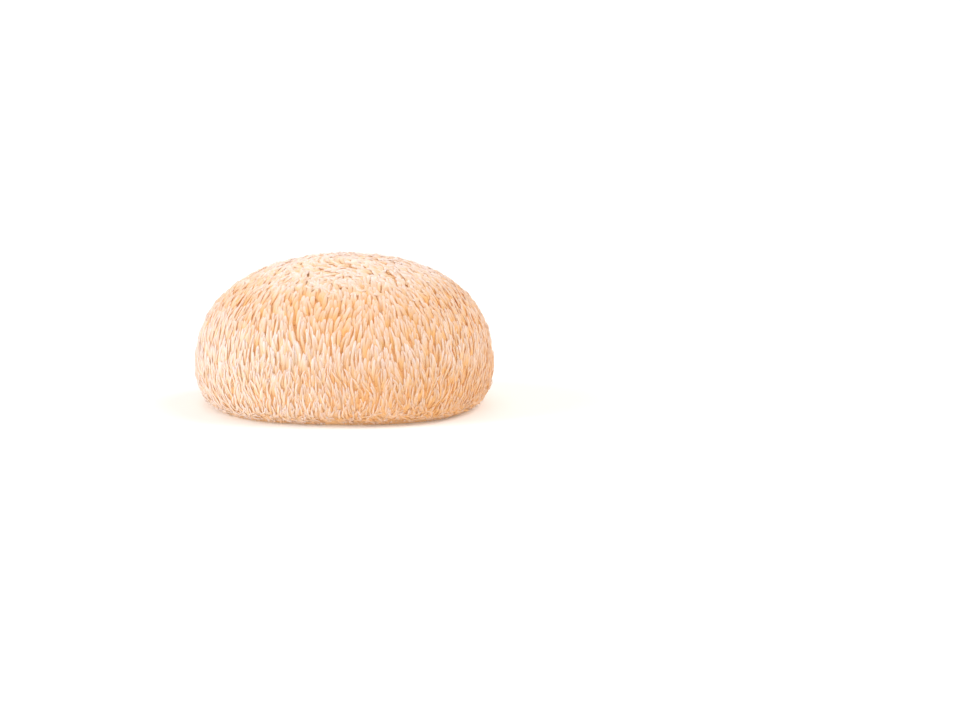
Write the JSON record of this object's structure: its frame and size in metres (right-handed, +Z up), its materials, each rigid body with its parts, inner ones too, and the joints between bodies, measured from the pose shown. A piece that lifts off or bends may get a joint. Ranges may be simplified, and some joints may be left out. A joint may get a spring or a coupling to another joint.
{
  "type": "lions mane mushroom",
  "caption": "Rounded white fungus whose outside is a dense mane of short soft teeth, resting on the flat where it was cut off.",
  "frame": {"origin": "middle of the flat cut that it rests on, level with the surface under it", "axes": "+Z up from the cut through the crown, +X to the right and -Y towards the viewer"},
  "size_m": [0.1183, 0.115, 0.0597],
  "materials": {
    "teeth": "matte",
    "flesh": "matte"
  },
  "bodies": {
    "root": {"fruit_body": "teeth"}
  },
  "joints": []
}
